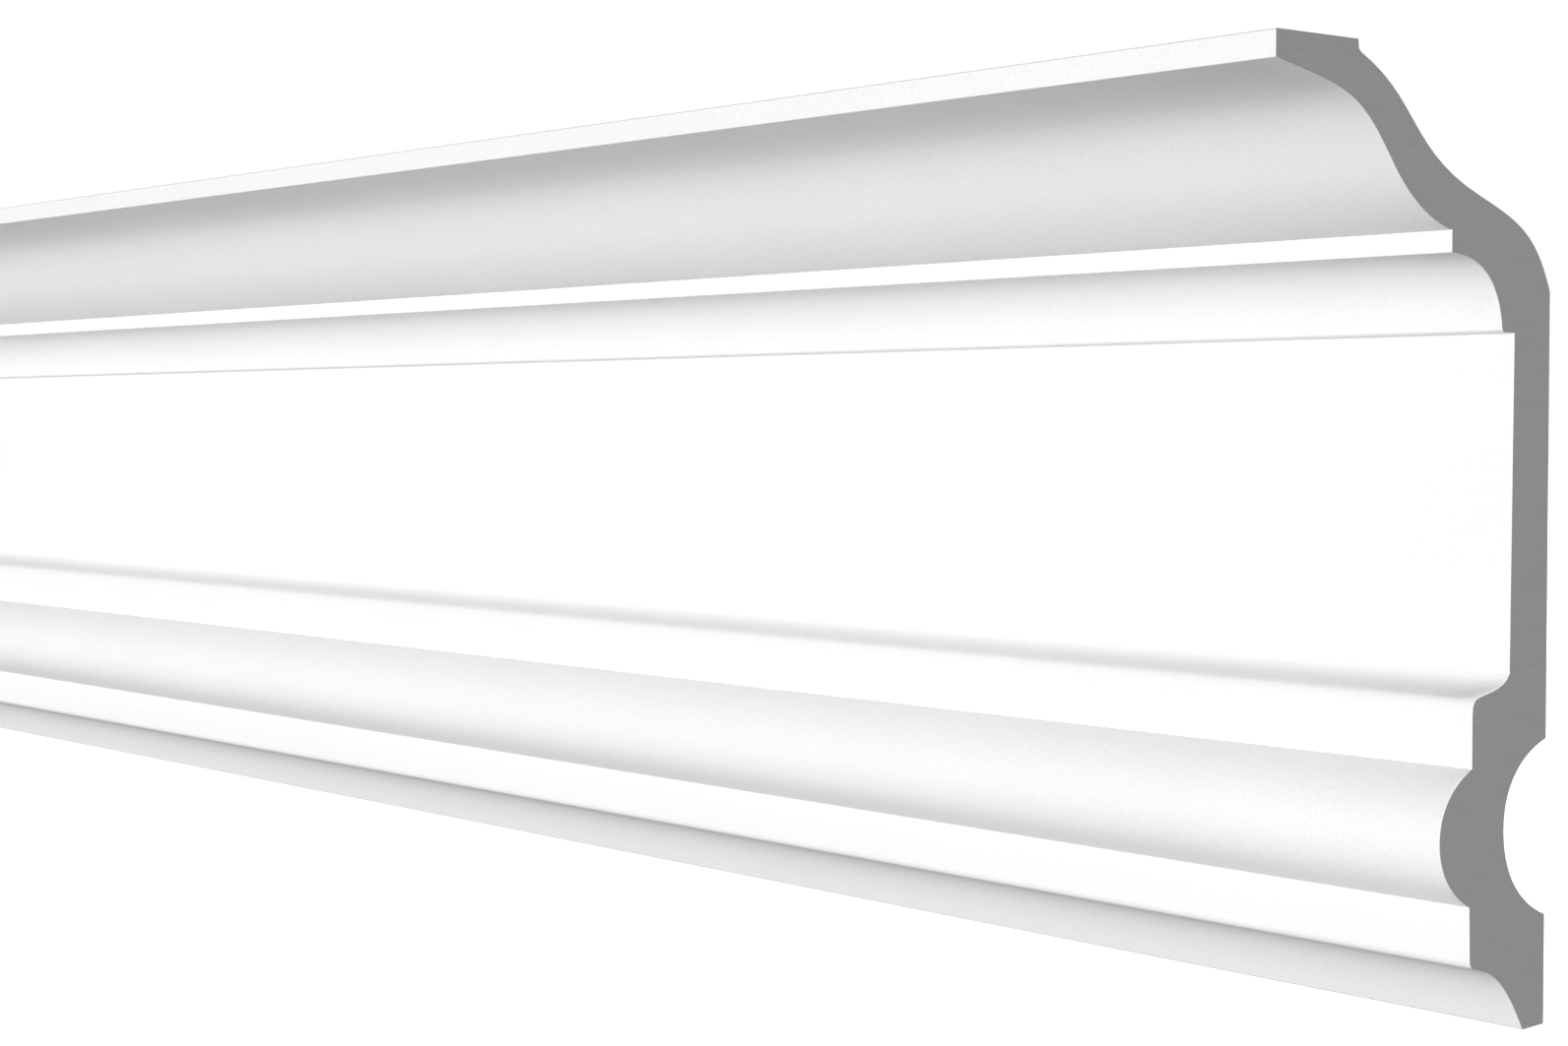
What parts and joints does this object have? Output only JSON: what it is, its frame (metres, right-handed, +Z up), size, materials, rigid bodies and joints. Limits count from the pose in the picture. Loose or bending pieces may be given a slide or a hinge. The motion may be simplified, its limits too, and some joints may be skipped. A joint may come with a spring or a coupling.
{
  "type": "crown moulding",
  "caption": "Straight length of crown moulding with a cyma, a cove, a plain frieze and a bead, fixed in the corner between wall and ceiling and cut square at both ends.",
  "frame": {"origin": "middle of the tall upper wall face, halfway along the length, on the wall plane", "axes": "+X along the length, towards the viewer's right as one faces the moulding on its wall; +Y into the wall; +Z up to the ceiling. The moulded face looks along -Y."},
  "size_m": [1, 0.103, 0.24],
  "materials": {
    "white_primer": "matt white factory primer on rigid polyurethane foam, with the grey foam bare at the cut ends"
  },
  "bodies": {
    "root": {"crown_moulding": "white_primer"}
  },
  "joints": []
}
